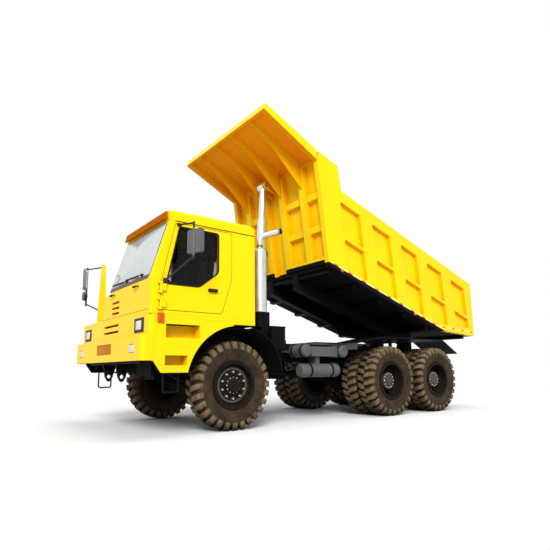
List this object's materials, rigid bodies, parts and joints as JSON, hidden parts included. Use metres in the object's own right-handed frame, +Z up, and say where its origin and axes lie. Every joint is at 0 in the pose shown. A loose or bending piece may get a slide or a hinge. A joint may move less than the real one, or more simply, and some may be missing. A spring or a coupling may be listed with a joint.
{
  "type": "mining dump truck",
  "caption": "Six-wheel mining dump truck with an offset cab, a tipping rock bed with a cab canopy, a telescopic front hoist and twin rear tyres.",
  "frame": {"origin": "on the ground below the middle of the overall length and width", "axes": "+X forward, +Y to the truck's left, +Z up"},
  "size_m": [8.485, 4.0141, 5.5588],
  "materials": {
    "yellow_paint": "gloss",
    "black_paint": "satin",
    "tyre": "matte",
    "rim": "satin",
    "glass": "gloss",
    "lamp": "gloss",
    "steel": "satin",
    "silver": "satin",
    "tank_grey": "satin",
    "visor": "gloss",
    "black_plastic": "matte",
    "seat_cloth": "matte",
    "cast": "matte"
  },
  "bodies": {
    "chassis": {"air_tanks": "tank_grey", "bumper": "yellow_paint", "cab_carriers": "black_paint", "cab_floor": "black_paint", "cab_front_frame": "yellow_paint", "cab_glass": "glass", "cab_rear_wall": "yellow_paint", "cab_roof": "yellow_paint", "cab_side_left": "yellow_paint", "cab_side_right": "yellow_paint", "dashboard": "black_plastic", "driveshaft": "cast", "engine_block": "cast", "exhaust_bracket": "black_paint", "exhaust_stack": "silver", "fenders": "yellow_paint", "frame_crossmembers": "black_paint", "frame_rails": "black_paint", "front_axle": "cast", "front_lamps": "lamp", "front_panel": "yellow_paint", "fuel_tank": "black_paint", "hinge_brackets": "black_paint", "leaf_springs": "cast", "mirror_post": "yellow_paint", "mirror_right": "black_paint", "mudguards": "black_paint", "rear_axles": "cast", "right_deck": "yellow_paint", "seat": "seat_cloth", "side_steps": "black_paint", "sun_visor": "visor", "tow_hooks": "black_paint"},
    "bed": {"bed_floor": "yellow_paint", "bed_sides": "yellow_paint", "bed_front_wall": "yellow_paint", "bed_canopy": "yellow_paint", "bed_beams": "yellow_paint"},
    "hoist_barrel": {"hoist_barrel": "black_paint"},
    "hoist_stage": {"hoist_stage": "steel"},
    "hoist_rod": {"hoist_rod": "steel"},
    "knuckle_left": {"knuckle_left": "cast"},
    "knuckle_right": {"knuckle_right": "cast"},
    "front_wheel_left": {"tyre_front_left": "tyre", "wheel_front_left": "rim"},
    "front_wheel_right": {"tyre_front_right": "tyre", "wheel_front_right": "rim"},
    "mid_wheels_left": {"tyres_mid_left": "tyre", "wheels_mid_left": "rim"},
    "mid_wheels_right": {"tyres_mid_right": "tyre", "wheels_mid_right": "rim"},
    "rear_wheels_left": {"tyres_rear_left": "tyre", "wheels_rear_left": "rim"},
    "rear_wheels_right": {"tyres_rear_right": "tyre", "wheels_rear_right": "rim"},
    "door": {"door_left": "yellow_paint", "door_glass": "glass", "mirror_left": "black_plastic"}
  },
  "joints": [
    {"name": "bed_tip", "type": "hinge", "parent": "chassis", "child": "bed", "pos_m": [-2.88246, 0, 1.5], "axis": [0, -1, 0], "range_deg": [-17.3, 27.7]},
    {"name": "hoist_swing", "type": "hinge", "parent": "chassis", "child": "hoist_barrel", "pos_m": [1.21754, 0, 1.25], "axis": [0, -1, 0], "range_deg": [-13.77, 21.98]},
    {"name": "hoist_stage_slide", "type": "slide", "parent": "hoist_barrel", "child": "hoist_stage", "axis": [-0.0433, 0, 0.9991], "range_m": [-0.6059, 0.9689]},
    {"name": "hoist_rod_slide", "type": "slide", "parent": "hoist_stage", "child": "hoist_rod", "axis": [-0.0433, 0, 0.9991], "range_m": [-0.6059, 0.9689]},
    {"name": "steer_left", "type": "hinge", "parent": "chassis", "child": "knuckle_left", "pos_m": [2.66754, 0.93, 0.685], "axis": [0, 0, 1], "range_deg": [-32, 32]},
    {"name": "steer_right", "type": "hinge", "parent": "chassis", "child": "knuckle_right", "pos_m": [2.66754, -0.93, 0.685], "axis": [0, 0, 1], "range_deg": [-32.1, 32.1]},
    {"name": "spin_front_left", "type": "hinge", "parent": "knuckle_left", "child": "front_wheel_left", "pos_m": [2.66754, 1.234, 0.685], "axis": [0, 1, 0], "continuous": true},
    {"name": "spin_front_right", "type": "hinge", "parent": "knuckle_right", "child": "front_wheel_right", "pos_m": [2.66754, -1.234, 0.685], "axis": [0, 1, 0], "continuous": true},
    {"name": "spin_mid_left", "type": "hinge", "parent": "chassis", "child": "mid_wheels_left", "pos_m": [-0.99846, 1.1245, 0.685], "axis": [0, 1, 0], "continuous": true},
    {"name": "spin_mid_right", "type": "hinge", "parent": "chassis", "child": "mid_wheels_right", "pos_m": [-0.99846, -1.1245, 0.685], "axis": [0, 1, 0], "continuous": true},
    {"name": "spin_rear_left", "type": "hinge", "parent": "chassis", "child": "rear_wheels_left", "pos_m": [-2.54046, 1.1245, 0.685], "axis": [0, 1, 0], "continuous": true},
    {"name": "spin_rear_right", "type": "hinge", "parent": "chassis", "child": "rear_wheels_right", "pos_m": [-2.54046, -1.1245, 0.685], "axis": [0, 1, 0], "continuous": true},
    {"name": "door_left_swing", "type": "hinge", "parent": "chassis", "child": "door", "pos_m": [3.98554, 1.572, 1.95], "axis": [0, 0, -1], "range_deg": [0, 65]}
  ],
  "couplings": [
    {"joint": "hoist_swing", "follows": "bed_tip", "ratio": 0.79},
    {"joint": "hoist_stage_slide", "follows": "bed_tip", "m_per_rad": 2},
    {"joint": "hoist_rod_slide", "follows": "bed_tip", "m_per_rad": 2},
    {"joint": "steer_right", "follows": "steer_left", "ratio": 1}
  ]
}
